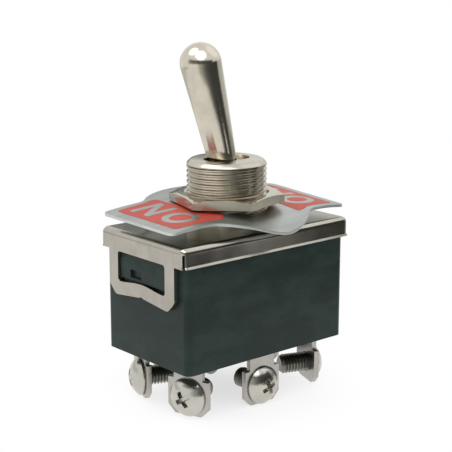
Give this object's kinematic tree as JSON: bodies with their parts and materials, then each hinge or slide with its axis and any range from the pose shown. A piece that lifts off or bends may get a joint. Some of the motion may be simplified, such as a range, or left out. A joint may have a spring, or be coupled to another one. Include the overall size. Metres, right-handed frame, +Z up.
{
  "type": "panel toggle switch",
  "caption": "Two-pole toggle switch with a bat lever, threaded panel bushing and nut, warped ON-OFF plate, clipped metal cover on a dark moulded housing and screw terminals.",
  "frame": {"origin": "on the bushing's axis, in the top face of the cover that seats against the panel", "axes": "+Z up the bushing, towards the lever; +X along the housing, towards the OFF end; the front faces -Y"},
  "size_m": [0.0336, 0.0248, 0.0531],
  "materials": {
    "phenolic": "dark moulded phenolic, satin",
    "fibre": "vulcanised fibre sheet",
    "carrier_moulding": "brown moulded insulator",
    "nickel_sheet": "nickel-plated pressed steel",
    "nickel_turned": "bright nickel plate",
    "plate_aluminium": "satin aluminium with enamelled fields",
    "plunger_moulding": "natural nylon",
    "steel": "plain steel",
    "contact_brass": "stamped brass",
    "silver": "silver contact rivet",
    "terminal_strip": "tinned strip",
    "screw_steel": "nickel-plated steel"
  },
  "bodies": {
    "switch_body": {"housing": "phenolic", "gasket": "fibre", "cover": "nickel_sheet", "bushing": "nickel_turned", "panel_nut": "nickel_turned", "indicator_plate": "plate_aluminium", "pivot_pin": "steel", "terminal_mid_front": "terminal_strip", "terminal_mid_back": "terminal_strip", "terminal_left_front": "terminal_strip", "terminal_right_front": "terminal_strip", "terminal_left_back": "terminal_strip", "terminal_right_back": "terminal_strip", "fixed_contact_left_front": "silver", "fixed_contact_right_front": "silver", "fixed_contact_left_back": "silver", "fixed_contact_right_back": "silver", "screw_mid_front": "screw_steel", "screw_mid_back": "screw_steel", "screw_left_front": "screw_steel", "screw_right_front": "screw_steel", "screw_left_back": "screw_steel", "screw_right_back": "screw_steel"},
    "lever_arm": {"lever": "nickel_turned", "carrier": "carrier_moulding", "spring_front": "steel", "spring_back": "steel"},
    "front_plunger": {"plunger_front": "plunger_moulding"},
    "back_plunger": {"plunger_back": "plunger_moulding"},
    "front_rocker": {"rocker_front": "contact_brass", "moving_contact_left_front": "silver", "moving_contact_right_front": "silver"},
    "back_rocker": {"rocker_back": "contact_brass", "moving_contact_left_back": "silver", "moving_contact_right_back": "silver"}
  },
  "joints": [
    {"name": "lever_throw", "type": "hinge", "parent": "switch_body", "child": "lever_arm", "pos_m": [0, 0, 0.0063], "axis": [0, 1, 0], "range_deg": [0, 31]},
    {"name": "front_rocker_tilt", "type": "hinge", "parent": "switch_body", "child": "front_rocker", "pos_m": [0, -0.00487, -0.0125], "axis": [0, 1, 0], "range_deg": [-10, 0]},
    {"name": "back_rocker_tilt", "type": "hinge", "parent": "switch_body", "child": "back_rocker", "pos_m": [0, 0.00487, -0.0125], "axis": [0, 1, 0], "range_deg": [-10, 0]},
    {"name": "front_plunger_slide", "type": "slide", "parent": "lever_arm", "child": "front_plunger", "axis": [-0.2672, 0, 0.9636], "range_m": [0, 0.0008], "stiffness_N_per_m": 600, "springref_m": -0.003, "deforming": ["spring_front"]},
    {"name": "back_plunger_slide", "type": "slide", "parent": "lever_arm", "child": "back_plunger", "axis": [-0.2672, 0, 0.9636], "range_m": [0, 0.0008], "stiffness_N_per_m": 600, "springref_m": -0.003, "deforming": ["spring_back"]}
  ],
  "couplings": [
    {"joint": "front_rocker_tilt", "follows": "lever_throw", "ratio": -0.32258},
    {"joint": "back_rocker_tilt", "follows": "lever_throw", "ratio": -0.32258}
  ]
}
